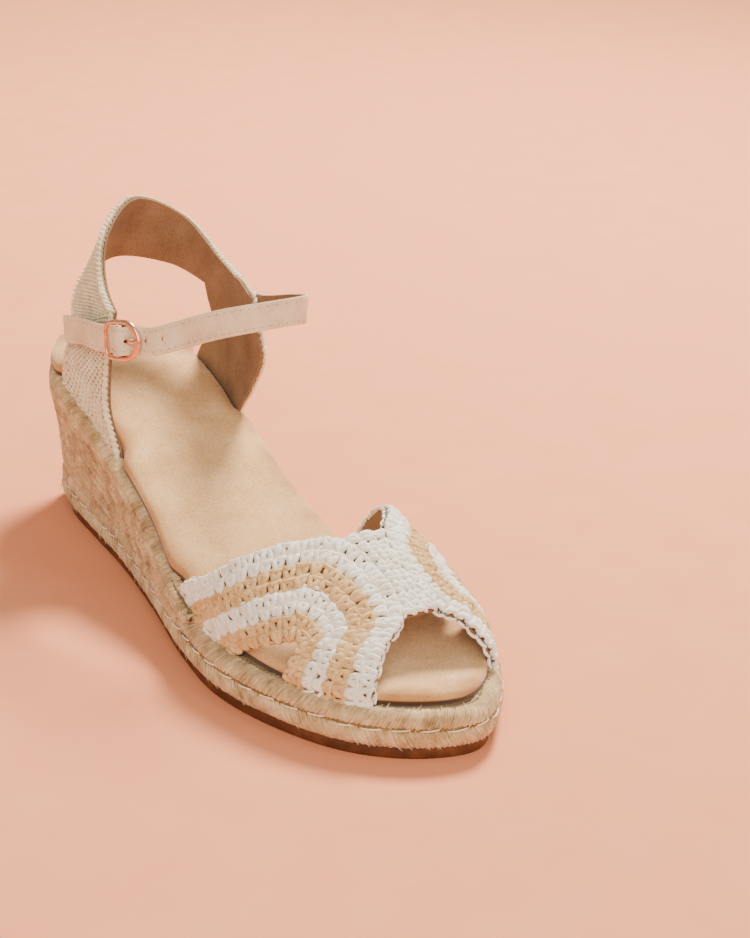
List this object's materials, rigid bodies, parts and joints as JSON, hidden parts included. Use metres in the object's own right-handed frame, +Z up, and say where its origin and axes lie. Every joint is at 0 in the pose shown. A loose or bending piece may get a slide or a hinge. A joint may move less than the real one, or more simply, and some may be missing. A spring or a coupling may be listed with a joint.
{
  "type": "espadrille wedge sandal",
  "caption": "Right-foot espadrille wedge sandal: jute-wrapped wedge, crocheted open-toe vamp with side cut-outs, woven heel strap and buckled ankle strap.",
  "frame": {"origin": "under the middle of the sandal's bounding box, on the surface it stands on", "axes": "+Y from the toe to the heel, +X towards the medial (big toe) side, +Z up"},
  "size_m": [0.093, 0.2514, 0.1268],
  "materials": {
    "rubber": "matte moulded",
    "jute": "braided plant fibre",
    "running_thread": "waxed white thread",
    "core": "foam and cork block",
    "board": "fibreboard",
    "shank_steel": "stamped",
    "foam": "soft open foam",
    "suede": "napped microsuede",
    "crochet": "hand-crocheted cotton cord in ivory and sand",
    "basketweave": "coarse two-tone basketweave",
    "lining": "napped microsuede",
    "strap_leather": "fine-grained cream leather, stitched",
    "rose_gold": "polished rose-gold plating"
  },
  "bodies": {
    "sandal": {"outsole": "rubber", "foxing_braid": "jute", "foxing_thread": "running_thread", "wedge_braid_1": "jute", "wedge_braid_2": "jute", "wedge_braid_3": "jute", "wedge_braid_4": "jute", "wedge_braid_5": "jute", "wedge_core": "core", "shank": "shank_steel", "insole_board": "board", "footbed_foam": "foam", "footbed_cover": "suede", "vamp_crochet_lateral": "crochet", "vamp_crochet_medial": "crochet", "vamp_crochet_bridge": "crochet", "vamp_lining_bridge": "lining", "vamp_lining_lateral": "lining", "vamp_lining_medial": "lining", "quarter_lateral": "basketweave", "quarter_lateral_lining": "lining", "quarter_medial": "basketweave", "quarter_medial_lining": "lining", "heel_strap": "basketweave", "heel_strap_lining": "lining"},
    "ankle_loop": {"ankle_strap": "strap_leather", "ankle_strap_lining": "lining", "buckle_tab": "strap_leather"},
    "buckle": {"buckle_frame": "rose_gold"},
    "prong": {"buckle_prong": "rose_gold"}
  },
  "joints": [
    {"name": "ankle_loop_swing", "type": "hinge", "parent": "sandal", "child": "ankle_loop", "pos_m": [-0.0299, 0.0674, 0.0879], "axis": [-0.9851, 0.1003, -0.1397], "range_deg": [-7, 15]},
    {"name": "buckle_tilt", "type": "hinge", "parent": "ankle_loop", "child": "buckle", "pos_m": [-0.02936, 0.04455, 0.0915], "axis": [0.0435, 0.2308, 0.972], "range_deg": [-2, 2]},
    {"name": "prong_lift", "type": "hinge", "parent": "buckle", "child": "prong", "pos_m": [-0.02936, 0.04455, 0.0915], "axis": [-0.0435, -0.2308, -0.972], "range_deg": [0, 12]}
  ]
}
